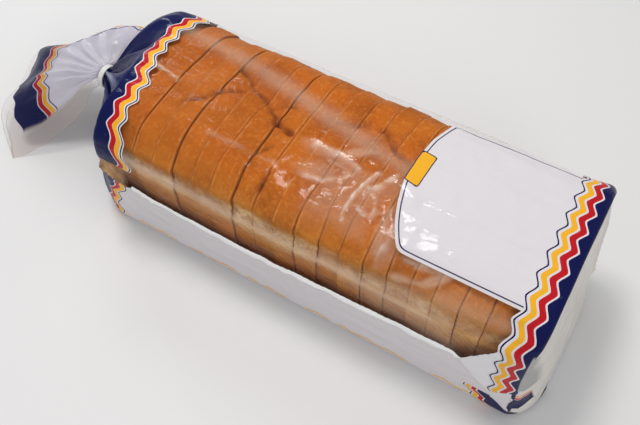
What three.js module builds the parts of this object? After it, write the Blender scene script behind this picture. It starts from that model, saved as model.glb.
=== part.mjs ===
// Sliced white tin loaf in its film bag: twenty slices standing together,
// one thin bag drawn round them, and a wire tie round the bag's neck.
// Millimetres. +X runs along the loaf to the bag's closed end, the gathered
// tail lies towards -X, -Y is the front side, +Z is up, the bag rests on z = 0.

import * as THREE from "three";

// ---- driving dimensions -------------------------------------------------

const TOUCH_GAP = 0.3;

// Bread. The tin shapes the base and sides, the crown rounds off above it.
const SLICE_COUNT = 20;
const SLICE_PITCH = 13.1;
const HEEL_LENGTH = 13.1;
const LOAF_LENGTH = SLICE_PITCH * (SLICE_COUNT - 2) + HEEL_LENGTH * 2;
const BREAD_BASE_HALF = 51;
const BREAD_CROWN_HALF = 54.2;
const BREAD_BASE_CORNER = 6;
const BREAD_SHOULDER = 27;
const BREAD_HEIGHT = 96.5;
const BREAD_OUTLINE_POINTS = 44;
const HEEL_ROUND = 5;
const SETTLE_SIDE = 0.8;
const SETTLE_LEAN = 0.004;

// Bag film. The wall is thicker than real film so that it is a solid.
const WALL = 0.6;
const BAG_BASE_HALF = 54.5;
const BAG_CROWN_HALF = 57.5;
const BAG_BASE_CORNER = 7;
const BAG_SHOULDER = 28;
const BAG_HEIGHT = 100;
const BAG_OUTLINE_POINTS = 44;
const BREAD_LIFT = WALL + 0.4;

// The top of bread and bag leaves the round shoulder at this angle.
const CROWN_ANGLE = THREE.MathUtils.degToRad(82);

// Closed end of the bag: a face that leans out at its foot, with round corners.
const END_TOP_X = LOAF_LENGTH + 1.6;
const END_FOOT_X = LOAF_LENGTH + 17.5;
const END_EDGE_ROUND = 4;
const END_CORNER_ROUND = 11;

// Neck: a short gathered cylinder behind the loaf's other end.
const NECK_X = -42;
const NECK_Y = 2;
const NECK_Z = 57;
const NECK_RADIUS = 6.5;
const NECK_LENGTH = 6;
const SHOULDER_STEPS = 9;
const SHOULDER_FULLNESS_TOP = 1.25;
const SHOULDER_FULLNESS_FOOT = 2.3;

// Tail: the rest of the bag, fanned out from the neck and drooping to one side.
const TAIL_LENGTH = 97;
const TAIL_HALF_ANGLE = THREE.MathUtils.degToRad(38);
const TAIL_HALF_DEPTH = 5;
const TAIL_OUT = new THREE.Vector3(-0.84, -0.02, -0.5);
const TAIL_ACROSS = new THREE.Vector3(-0.12, 0.98, 0.16);
const TAIL_HUMP = 10;
const TAIL_HUMP_SPAN = 0.85;
const TAIL_PLEATS = 5;
const TAIL_PLEAT_DEPTH = 2;
const TAIL_STEPS = 9;
const TAIL_START = 0.2;

// Wire tie: a ribbon ring round the neck with its two ends twisted together.
const TIE_WIDTH = 3.6;
const TIE_THICKNESS = 0.9;
const TIE_ROUND_STEPS = 22;
const TIE_BEND_RADIUS = 1.4;
const TIE_BEND_STEPS = 4;
const TIE_OPENING = THREE.MathUtils.degToRad(20);
const TIE_END_LENGTH = 15;
const TIE_END_WIDTH = 3;
const TIE_END_THICKNESS = 1.6;
const TIE_TWISTS = 2.5;
const TIE_END_STEPS = 24;
const TIE_END_ANGLE = THREE.MathUtils.degToRad(-50);

// ---- materials ------------------------------------------------------------

function surface(color, roughness) {
  return new THREE.MeshStandardMaterial({ color, roughness, metalness: 0 });
}

const breadMaterial = surface(0xc98442, 0.85);
const filmMaterial = surface(0xe6e8ec, 0.2);
const tieMaterial = surface(0xf2f2ee, 0.5);

// ---- geometry helpers -------------------------------------------------------

// Joins closed rings of equal point count into one skin. Each ring runs
// anticlockwise seen from the last one, and each end is closed by a fan to the
// middle of its ring.
function loft(rings) {
  const count = rings[0].length;
  const points = rings.flat();
  const first = middle(rings[0]);
  const last = middle(rings[rings.length - 1]);
  const firstIndex = points.push(first) - 1;
  const lastIndex = points.push(last) - 1;
  const lastRing = (rings.length - 1) * count;
  const triangles = [];
  for (let j = 0; j < count; j += 1) {
    const next = (j + 1) % count;
    for (let i = 0; i < rings.length - 1; i += 1) {
      const near = i * count;
      const far = near + count;
      triangles.push(near + j, far + next, far + j);
      triangles.push(near + j, near + next, far + next);
    }
    triangles.push(firstIndex, next, j);
    triangles.push(lastIndex, lastRing + j, lastRing + next);
  }
  const geometry = new THREE.BufferGeometry().setFromPoints(points);
  geometry.setIndex(triangles);
  geometry.computeVertexNormals();
  return geometry;
}

function middle(ring) {
  const sum = new THREE.Vector3();
  ring.forEach((point) => sum.add(point));
  return sum.divideScalar(ring.length);
}

// Cross-section of a tin loaf or of the bag round it, with its base on y = 0:
// flat base, rounded base corners, slightly flared sides, round shoulders and a
// shallow crown. It starts at the middle of the base.
function loafOutline({ baseHalf, crownHalf, corner, shoulder, height }) {
  const shoulderX = crownHalf - shoulder;
  const crownX = shoulderX + shoulder * Math.cos(CROWN_ANGLE);
  const crownRise = crownX / Math.tan(CROWN_ANGLE);
  const crownFoot = height - crownRise / 2;
  const shoulderY = crownFoot - shoulder * Math.sin(CROWN_ANGLE);
  const shape = new THREE.Shape();
  shape.moveTo(0, 0);
  shape.lineTo(baseHalf - corner, 0);
  shape.quadraticCurveTo(baseHalf, 0, baseHalf, corner);
  shape.lineTo(crownHalf, shoulderY);
  shape.absarc(shoulderX, shoulderY, shoulder, 0, CROWN_ANGLE);
  shape.quadraticCurveTo(0, crownFoot + crownRise, -crownX, crownFoot);
  shape.absarc(-shoulderX, shoulderY, shoulder, Math.PI - CROWN_ANGLE, Math.PI);
  shape.lineTo(-baseHalf, corner);
  shape.quadraticCurveTo(-baseHalf, 0, corner - baseHalf, 0);
  shape.closePath();
  return shape;
}

function spacedOutline(shape, count) {
  return shape.getSpacedPoints(count).slice(0, count);
}

// ---- bread --------------------------------------------------------------------

const breadOutline = spacedOutline(
  loafOutline({
    baseHalf: BREAD_BASE_HALF,
    crownHalf: BREAD_CROWN_HALF,
    corner: BREAD_BASE_CORNER,
    shoulder: BREAD_SHOULDER,
    height: BREAD_HEIGHT,
  }),
  BREAD_OUTLINE_POINTS,
);

// One ring of the bread outline at x, drawn in by inset all round.
function breadRing(x, inset) {
  const centre = BREAD_HEIGHT / 2;
  const across = 1 - inset / BREAD_CROWN_HALF;
  const up = 1 - inset / centre;
  return breadOutline.map(
    (p) => new THREE.Vector3(x, p.x * across, centre + (p.y - centre) * up),
  );
}

// A middle slice is cut on both faces. A heel keeps the loaf's rounded end.
function sliceGeometry(thickness, roundStart, roundEnd) {
  const soft = [
    [0, HEEL_ROUND],
    [0.12, HEEL_ROUND * 0.45],
    [0.35, HEEL_ROUND * 0.12],
  ];
  const startRings = roundStart ? soft : [];
  const endRings = roundEnd ? soft.slice().reverse() : [];
  const rings = [];
  startRings.forEach(([t, inset]) => rings.push(breadRing(t * thickness, inset)));
  if (!roundStart) {
    rings.push(breadRing(0, 0));
  }
  rings.push(breadRing(thickness * 0.5, 0));
  if (!roundEnd) {
    rings.push(breadRing(thickness, 0));
  }
  endRings.forEach(([t, inset]) => rings.push(breadRing((1 - t) * thickness, inset)));
  return loft(rings);
}

// Slices have settled a little out of line with each other in the bag.
function makeSlice(index) {
  const isFirst = index === 0;
  const isLast = index === SLICE_COUNT - 1;
  const length = isFirst || isLast ? HEEL_LENGTH : SLICE_PITCH;
  const start = isFirst ? 0 : HEEL_LENGTH + SLICE_PITCH * (index - 1);
  const slice = new THREE.Mesh(sliceGeometry(length - TOUCH_GAP, isFirst, isLast), breadMaterial);
  slice.name = `slice_${String(index + 1).padStart(2, "0")}`;
  slice.position.set(start + TOUCH_GAP / 2, SETTLE_SIDE * Math.sin(index * 1.9), BREAD_LIFT);
  slice.rotation.x = SETTLE_LEAN * Math.sin(index * 2.7 + 0.5);
  return slice;
}

// ---- bag ------------------------------------------------------------------------

// Points round the bag's body section, with its wall drawn in by inset.
function bagSection(inset) {
  const outline = loafOutline({
    baseHalf: BAG_BASE_HALF - inset,
    crownHalf: BAG_CROWN_HALF - inset,
    corner: BAG_BASE_CORNER - inset,
    shoulder: BAG_SHOULDER - inset,
    height: BAG_HEIGHT - 2 * inset,
  });
  return spacedOutline(outline, BAG_OUTLINE_POINTS).map(
    (p) => new THREE.Vector2(p.x, p.y + inset),
  );
}

// Rings of the closed end, from the middle of the end face to the body.
// The face leans, so each point's x follows its height.
function endRings(section, inset) {
  const centreZ = BAG_HEIGHT / 2;
  const stations = [
    [0.3, 0],
    [0.7, 0],
    [0.95, 0],
    [0.99, END_EDGE_ROUND * 0.3],
    [1, END_EDGE_ROUND],
  ];
  return stations.map(([scale, back]) =>
    section.map((p) => {
      const y = p.x * scale;
      const z = centreZ + (p.y - centreZ) * scale;
      const lean = (END_FOOT_X - END_TOP_X) * (z / BAG_HEIGHT);
      const corner = END_CORNER_ROUND * (1 - z / BAG_HEIGHT) * Math.pow(Math.abs(y) / BAG_BASE_HALF, 5);
      return new THREE.Vector3(END_FOOT_X - lean - corner - back - inset, y, z);
    }),
  );
}

function bodyRings(section) {
  const stations = [0.96, 0.72, 0.48, 0.24, 0];
  return stations.map((t) => section.map((p) => new THREE.Vector3(t * LOAF_LENGTH, p.x, p.y)));
}

function neckPoint(j, radius) {
  const turn = (2 * Math.PI * j) / BAG_OUTLINE_POINTS;
  return new THREE.Vector2(NECK_Y + radius * Math.sin(turn), NECK_Z - radius * Math.cos(turn));
}

// The shoulder closes from the body section to the round neck.
function shoulderRings(section, inset) {
  const rings = [];
  for (let i = 1; i <= SHOULDER_STEPS; i += 1) {
    const along = i / SHOULDER_STEPS;
    const x = NECK_X * along;
    rings.push(
      section.map((p, j) => {
        const q = neckPoint(j, NECK_RADIUS - inset);
        const height = p.y / BAG_HEIGHT;
        const fullness = THREE.MathUtils.lerp(SHOULDER_FULLNESS_FOOT, SHOULDER_FULLNESS_TOP, height);
        const closed = Math.pow(along, fullness);
        const y = THREE.MathUtils.lerp(p.x, q.x, closed);
        const z = THREE.MathUtils.lerp(p.y, q.y, closed);
        return new THREE.Vector3(x, y, z);
      }),
    );
  }
  return rings;
}

// Axes of the fan: out along the tail, across it, and up through it.
const tailOut = TAIL_OUT.clone().normalize();
const tailUp = new THREE.Vector3().crossVectors(TAIL_ACROSS, tailOut).normalize();
const tailAcross = new THREE.Vector3().crossVectors(tailOut, tailUp);
const tailRoot = new THREE.Vector3(NECK_X - NECK_LENGTH, NECK_Y, NECK_Z);

function tailPoint(j, along, inset) {
  const turn = (2 * Math.PI * j) / BAG_OUTLINE_POINTS;
  const radius = TAIL_LENGTH * along;
  const across = Math.sin(turn);
  const halfAngle = TAIL_HALF_ANGLE - inset / Math.max(radius, TAIL_LENGTH * TAIL_START);
  const angle = across * halfAngle;
  const depth = -Math.cos(turn) * (TAIL_HALF_DEPTH - inset);
  const pleat = TAIL_PLEAT_DEPTH * along * Math.cos(TAIL_PLEATS * Math.PI * across);
  const hump = TAIL_HUMP * Math.sin(Math.PI * TAIL_HUMP_SPAN * along);
  return tailRoot
    .clone()
    .addScaledVector(tailOut, radius * Math.cos(angle))
    .addScaledVector(tailAcross, radius * Math.sin(angle))
    .addScaledVector(tailUp, depth + pleat + hump);
}

// The tail opens from the round neck into a flat pleated fan.
function tailRings(inset) {
  const rings = [];
  for (let i = 0; i <= TAIL_STEPS; i += 1) {
    const along = THREE.MathUtils.lerp(TAIL_START, 1, i / TAIL_STEPS);
    rings.push(
      Array.from({ length: BAG_OUTLINE_POINTS }, (_, j) => tailPoint(j, along, inset)),
    );
  }
  return rings;
}

function neckEndRing(inset) {
  return Array.from({ length: BAG_OUTLINE_POINTS }, (_, j) => {
    const q = neckPoint(j, NECK_RADIUS - inset);
    return new THREE.Vector3(NECK_X - NECK_LENGTH, q.x, q.y);
  });
}

function bagSkin(inset) {
  const section = bagSection(inset);
  return [
    ...endRings(section, inset),
    ...bodyRings(section),
    ...shoulderRings(section, inset),
    neckEndRing(inset),
    ...tailRings(inset),
  ];
}

// One film wall: the inner skin out to the tail's open mouth, and back outside.
function makeBag() {
  const inner = bagSkin(WALL);
  const outer = bagSkin(0).reverse();
  const bag = new THREE.Mesh(loft([...inner, ...outer]), filmMaterial);
  bag.name = "bag";
  return bag;
}

// ---- tie --------------------------------------------------------------------------

// Stations along the ribbon, in the plane across the neck: nearly once round
// the neck, a tight bend outwards, then straight out with both ends twisted.
function tieStations() {
  const radius = NECK_RADIUS + TOUCH_GAP + TIE_THICKNESS / 2;
  const out = new THREE.Vector2(Math.cos(TIE_END_ANGLE), Math.sin(TIE_END_ANGLE));
  const round = new THREE.Vector2(-out.y, out.x);
  const stations = [];
  const addStation = (point, along, twist, swell) => stations.push({ point, along, twist, swell });
  for (let i = 0; i < TIE_ROUND_STEPS; i += 1) {
    const turn = TIE_OPENING - 2 * Math.PI + ((2 * Math.PI - TIE_OPENING) * i) / TIE_ROUND_STEPS;
    const spoke = out.clone().rotateAround(new THREE.Vector2(), turn);
    const along = new THREE.Vector2(-spoke.y, spoke.x);
    addStation(spoke.multiplyScalar(radius), along, 0, 0);
  }
  const bendCentre = out.clone().multiplyScalar(radius + TIE_BEND_RADIUS);
  for (let i = 0; i <= TIE_BEND_STEPS; i += 1) {
    const bend = (Math.PI / 2) * (i / TIE_BEND_STEPS);
    const point = bendCentre.clone();
    point.addScaledVector(out, -TIE_BEND_RADIUS * Math.cos(bend));
    point.addScaledVector(round, TIE_BEND_RADIUS * Math.sin(bend));
    const along = round.clone().multiplyScalar(Math.cos(bend)).addScaledVector(out, Math.sin(bend));
    addStation(point, along, 0, 0);
  }
  const bendEnd = stations[stations.length - 1].point;
  for (let i = 1; i <= TIE_END_STEPS; i += 1) {
    const t = i / TIE_END_STEPS;
    const point = bendEnd.clone().addScaledVector(out, t * TIE_END_LENGTH);
    addStation(point, out, t * TIE_TWISTS * Math.PI, Math.min(1, t * 4));
  }
  return stations;
}

// The ribbon's four corners at one station.
function tieSection({ point, along, twist, swell }) {
  const corners = [
    [-1, -1],
    [1, -1],
    [1, 1],
    [-1, 1],
  ];
  const halfWidth = THREE.MathUtils.lerp(TIE_WIDTH, TIE_END_WIDTH, swell) / 2;
  const halfThickness = THREE.MathUtils.lerp(TIE_THICKNESS, TIE_END_THICKNESS, swell) / 2;
  const side = new THREE.Vector3(0, along.y, -along.x);
  const axial = new THREE.Vector3(1, 0, 0);
  return corners.map(([a, b]) => {
    const u = a * halfWidth * Math.cos(twist) - b * halfThickness * Math.sin(twist);
    const v = a * halfWidth * Math.sin(twist) + b * halfThickness * Math.cos(twist);
    const corner = new THREE.Vector3(0, point.x, point.y);
    return corner.addScaledVector(axial, u).addScaledVector(side, v);
  });
}

function makeTie() {
  const tie = new THREE.Mesh(loft(tieStations().map(tieSection)), tieMaterial);
  tie.name = "twist_tie";
  tie.position.set(NECK_X - NECK_LENGTH / 2, NECK_Y, NECK_Z);
  return tie;
}

// ---- assembly -----------------------------------------------------------------------

const loaf = new THREE.Group();
for (let index = 0; index < SLICE_COUNT; index += 1) {
  loaf.add(makeSlice(index));
}
loaf.add(makeBag());
loaf.add(makeTie());

// The origin is on the surface it rests on, under the middle of its box.
loaf.updateMatrixWorld(true);
const box = new THREE.Box3().setFromObject(loaf, true);
const centre = box.getCenter(new THREE.Vector3());
loaf.position.set(-centre.x, -centre.y, -box.min.z);

export default loaf;
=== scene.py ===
"""Looks of a sliced tin loaf in a printed clear film bag.

Shapes are worked out in millimetres in the loaf's own frame: the bread starts at
x = 0 and runs to +x, y = 0 is its middle and z = 0 is the table. Every surface point
also has a place on the flat film: u along the bag and t up round it from the near
base corner.
"""

import math

import bpy
import numpy as np
from mathutils import Matrix, Vector


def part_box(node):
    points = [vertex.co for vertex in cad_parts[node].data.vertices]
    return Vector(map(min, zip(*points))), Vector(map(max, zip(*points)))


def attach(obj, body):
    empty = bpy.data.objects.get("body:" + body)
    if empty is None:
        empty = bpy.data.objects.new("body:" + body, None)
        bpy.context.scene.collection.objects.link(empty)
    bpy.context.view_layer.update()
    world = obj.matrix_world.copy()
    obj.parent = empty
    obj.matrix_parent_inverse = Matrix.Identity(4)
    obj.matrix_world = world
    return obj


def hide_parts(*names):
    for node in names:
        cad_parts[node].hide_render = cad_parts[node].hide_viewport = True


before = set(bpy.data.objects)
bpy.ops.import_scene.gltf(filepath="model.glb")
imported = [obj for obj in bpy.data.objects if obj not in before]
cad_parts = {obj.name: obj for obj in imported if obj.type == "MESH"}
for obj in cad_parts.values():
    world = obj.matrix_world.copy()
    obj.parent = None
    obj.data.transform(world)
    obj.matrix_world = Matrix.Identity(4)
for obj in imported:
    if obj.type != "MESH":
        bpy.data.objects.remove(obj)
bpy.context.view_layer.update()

MM = 0.001
SLICE_NAMES = sorted(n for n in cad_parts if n.startswith("slice_"))
SLICE_GAP = 0.3
LOAF_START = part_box(SLICE_NAMES[0])[0].x / MM - SLICE_GAP / 2
LOAF_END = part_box(SLICE_NAMES[-1])[1].x / MM + SLICE_GAP / 2
LOAF_LENGTH = LOAF_END - LOAF_START
PITCH = LOAF_LENGTH / len(SLICE_NAMES)
BAG_LOW, BAG_HIGH = (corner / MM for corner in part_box("bag"))
BAG_HEIGHT = BAG_HIGH.z - BAG_LOW.z

# Bread section
BREAD_BASE_HALF = 51.0
BREAD_CROWN_HALF = 54.2
BREAD_CORNER = 6.0
BREAD_SHOULDER = 27.0
BREAD_HEIGHT = 96.5
BREAD_LIFT = 1.0
CUT_GAP = 0.1
CRUMB_DEPTH = 0.35
EDGE_WIDTH = 2.4
HEEL_ROUND = 5.0
FACE_SCALES = (0.07, 0.985, 13)
BREAD_COLUMNS = 264

# Bag section
BAG_BASE_HALF = 54.5
BAG_CROWN_HALF = 57.5
BAG_CORNER = 7.0
BAG_SHOULDER = 28.0
CROWN_ANGLE = math.radians(82)
BAG_COLUMNS = 288
END_TOP_X = LOAF_LENGTH + 1.6
END_FOOT_X = LOAF_LENGTH + 15.0
END_EDGE_ROUND = 4.0
END_CORNER_ROUND = 13.0
END_BODY_X = LOAF_LENGTH * 0.96
END_FACE_INSET = 0.4
END_EDGE_WAY = END_EDGE_ROUND * 1.4

# Rings of the bag, from the closed end to the tail's mouth
END_FACE_RINGS = 24
END_EDGE_RINGS = 6
END_BLEND_RINGS = 14
BODY_RINGS = 171
SHOULDER_RINGS = 46
NECK_RINGS = (0.33, 0.66, 1.0)
TAIL_RINGS = 58

# Neck and tail
NECK = Vector((-42.0, 2.0, 57.0))
NECK_RADIUS = 6.3
NECK_LENGTH = 6.0
FULLNESS_TOP = 1.25
FULLNESS_FOOT = 2.3
# Sharp folds of the shoulder: share of the way round from under the neck, and height
SHOULDER_FOLDS = [
    (0.31, 1.5), (0.38, 1.5), (0.46, -3.0), (0.57, 5.0), (0.63, -3.5), (0.69, 4.5), (0.76, 4.0),
]
SHOULDER_FOLD_WIDTH = 0.05
TAIL_ROOT = Vector((-48.0, 2.0, 57.0))
TAIL_UP = Vector((-0.46, -0.1, 0.88)).normalized()
TAIL_HUMP = 11.0
TAIL_START = 0.07
TAIL_LAYER_GAP = 4.5

# Directions from the neck to the tail's rim, from the near side to the far side
TAIL_RAYS = [
    (-0.59, -0.60, -0.54), (-0.77, -0.43, -0.49), (-0.85, -0.17, -0.50), (-0.875, 0.18, -0.45),
    (-0.78, 0.50, -0.36), (-0.38, 0.86, -0.28), (0.22, 0.93, -0.12),
]
TAIL_LENGTH = 94.0
# The far side of the tail curls down past this share of its length
TAIL_CURL = 0.46

rng = np.random.RandomState(7)
LATTICE = rng.rand(64, 64, 8) * 2 - 1


# ---- small maths ----


def smooth(a, b, x):
    s = np.clip((np.asarray(x, float) - a) / (b - a), 0, 1)
    return s * s * (3 - 2 * s)


def bump(x, centre, width):
    """1 at centre, falling smoothly to 0 a few widths away."""
    return np.exp(-(((np.asarray(x, float) - centre) / width) ** 2))


def noise(x, y, layer=0):
    """Smooth seeded noise from -1 to 1 with features one unit apart."""
    x, y = np.broadcast_arrays(np.asarray(x, float), np.asarray(y, float))
    i, j = np.floor(x).astype(int), np.floor(y).astype(int)
    a, b = x - i, y - j
    a, b = a * a * (3 - 2 * a), b * b * (3 - 2 * b)
    grid = LATTICE[:, :, layer % 8]

    def at(p, q):
        return grid[(i + p) % 64, (j + q) % 64]

    low = at(0, 0) * (1 - a) + at(1, 0) * a
    high = at(0, 1) * (1 - a) + at(1, 1) * a
    return low * (1 - b) + high * b


def path_distance(u, t, path):
    """Distance on the film from each point to an open path of (u, t) corners."""
    best = np.full(np.shape(u), np.inf)
    for (u0, t0), (u1, t1) in zip(path, path[1:]):
        du, dt = u1 - u0, t1 - t0
        along = np.clip(((u - u0) * du + (t - t0) * dt) / (du * du + dt * dt), 0, 1)
        best = np.minimum(best, np.hypot(u - u0 - along * du, t - t0 - along * dt))
    return best


def sheen(u, t, path, right, left):
    """1 on a path, fading over one width to its right and over another to its left."""
    best = np.full(np.shape(u), np.inf)
    for (u0, t0), (u1, t1) in zip(path, path[1:]):
        du, dt = u1 - u0, t1 - t0
        side = ((t - t0) * du - (u - u0) * dt) / math.hypot(du, dt)
        width = right + (left - right) * smooth(-0.5, 0.5, side)
        best = np.minimum(best, path_distance(u, t, [(u0, t0), (u1, t1)]) / width)
    return np.exp(-best)


def inside(u, t, corners, sharpness=4.0):
    """Distance to a convex outline given anticlockwise in (u, t): positive inside.
    A lower sharpness rounds the corners."""
    total = np.zeros(np.shape(u))
    for (u0, t0), (u1, t1) in zip(corners, corners[1:] + corners[:1]):
        du, dt = u1 - u0, t1 - t0
        side = ((t - t0) * du - (u - u0) * dt) / math.hypot(du, dt)
        total += np.exp(-sharpness * np.clip(side, -60 / sharpness, 200))
    return -np.log(total) / sharpness


def through(pairs, x):
    """Straight lines through (x, value) pairs."""
    xs, values = zip(*pairs)
    return np.interp(x, xs, values)


def srgb(r, g, b, a=1.0):
    def linear(v):
        v /= 255
        return v / 12.92 if v <= 0.04045 else ((v + 0.055) / 1.055) ** 2.4

    return (linear(r), linear(g), linear(b), a)


# ---- sections ----


def tin_section(base_half, crown_half, corner, shoulder, height, count):
    """Points round a tin loaf's section from the middle of its base, far side first,
    evenly spaced, and t, the way round from the near base corner."""
    shoulder_y = crown_half - shoulder
    crown_y = shoulder_y + shoulder * math.cos(CROWN_ANGLE)
    rise = crown_y / math.tan(CROWN_ANGLE)
    foot = height - rise / 2
    shoulder_z = foot - shoulder * math.sin(CROWN_ANGLE)
    half = [(0.0, 0.0)]
    for k in range(13):
        s = k / 12
        y = (1 - s) ** 2 * (base_half - corner) + (1 - (1 - s) ** 2) * base_half
        half.append((y, s * s * corner))
    flat = len(half) - 1
    for k in range(33):
        a = CROWN_ANGLE * k / 32
        half.append((shoulder_y + shoulder * math.cos(a), shoulder_z + shoulder * math.sin(a)))
    for k in range(1, 25):
        s = k / 24 * 0.5
        y = crown_y * (1 - 2 * s)
        z = (1 - s) ** 2 * foot + 2 * s * (1 - s) * (foot + rise) + s * s * foot
        half.append((y, z))
    points = np.array(half + [(-y, z) for y, z in half[-2::-1]])
    steps = np.hypot(*np.diff(points, axis=0).T)
    way = np.concatenate([[0], np.cumsum(steps)])
    near_corner = way[len(points) - 1 - flat]
    even = np.linspace(0, way[-1], count + 1)
    ring = np.stack([np.interp(even, way, points[:, 0]), np.interp(even, way, points[:, 1])], 1)
    return ring, near_corner - even


bag_ring, bag_t = tin_section(
    BAG_BASE_HALF, BAG_CROWN_HALF, BAG_CORNER, BAG_SHOULDER, BAG_HEIGHT, BAG_COLUMNS
)
bread_ring, bread_way = tin_section(
    BREAD_BASE_HALF, BREAD_CROWN_HALF, BREAD_CORNER, BREAD_SHOULDER, BREAD_HEIGHT, BREAD_COLUMNS
)
# The bread's own way round is a little shorter, so it is measured in the bag's t.
T_FAR = float(np.interp(BAG_CORNER, bag_ring[: BAG_COLUMNS // 4, 1], bag_t[: BAG_COLUMNS // 4]))
BREAD_FAR = float(
    np.interp(BREAD_CORNER, bread_ring[: BREAD_COLUMNS // 4, 1], bread_way[: BREAD_COLUMNS // 4])
)
bread_t = bread_way * (T_FAR / BREAD_FAR)


def outward(ring):
    """Unit outward directions of a closed section whose last point repeats its first."""
    tangent = np.roll(ring[:-1], -1, 0) - np.roll(ring[:-1], 1, 0)
    tangent = np.vstack([tangent, tangent[:1]])
    normal = np.stack([tangent[:, 1], -tangent[:, 0]], 1)
    return normal / np.linalg.norm(normal, axis=1, keepdims=True)


# ---- meshes ----


def skin(name, grid, fields, material, cap_start=None, cap_end=None, flip=False):
    """A tube of rings that run towards +x, or with flip towards -x. grid is
    rows x (columns + 1) x 3 in mm, its last column repeating the first; fields are
    rows x (columns + 1), kept per face corner so that t can jump at the middle of the
    base."""
    rows, wide = grid.shape[:2]
    columns = wide - 1
    points = grid[:, :columns].reshape(-1, 3)
    index = np.arange(rows * columns).reshape(rows, columns)
    right = np.roll(index, -1, 1)
    quads = np.stack([index[:-1], right[:-1], right[1:], index[1:]], -1).reshape(-1, 4)
    r, c = np.meshgrid(np.arange(rows - 1), np.arange(columns), indexing="ij")
    corner_r = np.stack([r, r, r + 1, r + 1], -1).reshape(-1)
    corner_c = np.stack([c, c + 1, c + 1, c], -1).reshape(-1)
    loops = quads.reshape(-1)
    starts = list(range(0, len(loops), 4))
    j = np.arange(columns)
    for row, centre in ((0, cap_start), (rows - 1, cap_end)):
        if centre is None:
            continue
        middle = np.full(columns, len(points))
        points = np.vstack([points, np.asarray(centre, float)[None]])
        ends = (j, j + 1) if row else (j + 1, j)
        starts += range(len(loops), len(loops) + 3 * columns, 3)
        face = np.stack([middle] + [index[row, end % columns] for end in ends], 1)
        loops = np.concatenate([loops, face.ravel()])
        corner_r = np.concatenate([corner_r, np.full(3 * columns, row)])
        corner_c = np.concatenate([corner_c, np.stack([j, *ends], 1).ravel()])
    placed = (points + np.array([LOAF_START, (BAG_LOW.y + BAG_HIGH.y) / 2, 0])) * MM
    mesh = bpy.data.meshes.new(name)
    mesh.vertices.add(len(placed))
    mesh.vertices.foreach_set("co", placed.astype(np.float32).ravel())
    mesh.loops.add(len(loops))
    mesh.loops.foreach_set("vertex_index", loops.astype(np.int32))
    mesh.polygons.add(len(starts))
    mesh.polygons.foreach_set("loop_start", np.array(starts, np.int32))
    mesh.update(calc_edges=True)
    mesh.validate()
    for key, values in fields.items():
        layer = mesh.attributes.new(key, "FLOAT", "CORNER")
        layer.data.foreach_set("value", values[corner_r, corner_c].astype(np.float32))
    if flip:
        mesh.flip_normals()
    mesh.polygons.foreach_set("use_smooth", np.ones(len(mesh.polygons), bool))
    mesh.materials.append(material)
    made = bpy.data.objects.new(name, mesh)
    bpy.context.scene.collection.objects.link(made)
    return made


# ---- node helpers ----


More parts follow.
